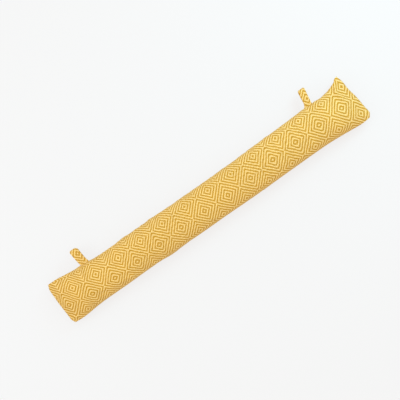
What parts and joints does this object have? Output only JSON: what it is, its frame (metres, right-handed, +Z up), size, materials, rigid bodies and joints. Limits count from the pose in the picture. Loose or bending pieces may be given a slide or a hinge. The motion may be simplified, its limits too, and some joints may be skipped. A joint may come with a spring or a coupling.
{
  "type": "draught excluder",
  "caption": "Long stuffed cloth tube that lies along the foot of a door to stop draughts, with pinched end seams and hanging loops sewn into one long edge.",
  "frame": {"origin": "on the flat underside, below the middle of the tube", "axes": "+X along the tube, +Y towards the long seam and its hanging loops, +Z up from the floor that it lies on"},
  "size_m": [0.8992, 0.1583, 0.0718],
  "materials": {
    "diamond_twill": "matte mustard and cream diamond twill"
  },
  "bodies": {
    "root": {"body": "diamond_twill", "loop_left": "diamond_twill", "loop_right": "diamond_twill"}
  },
  "joints": []
}
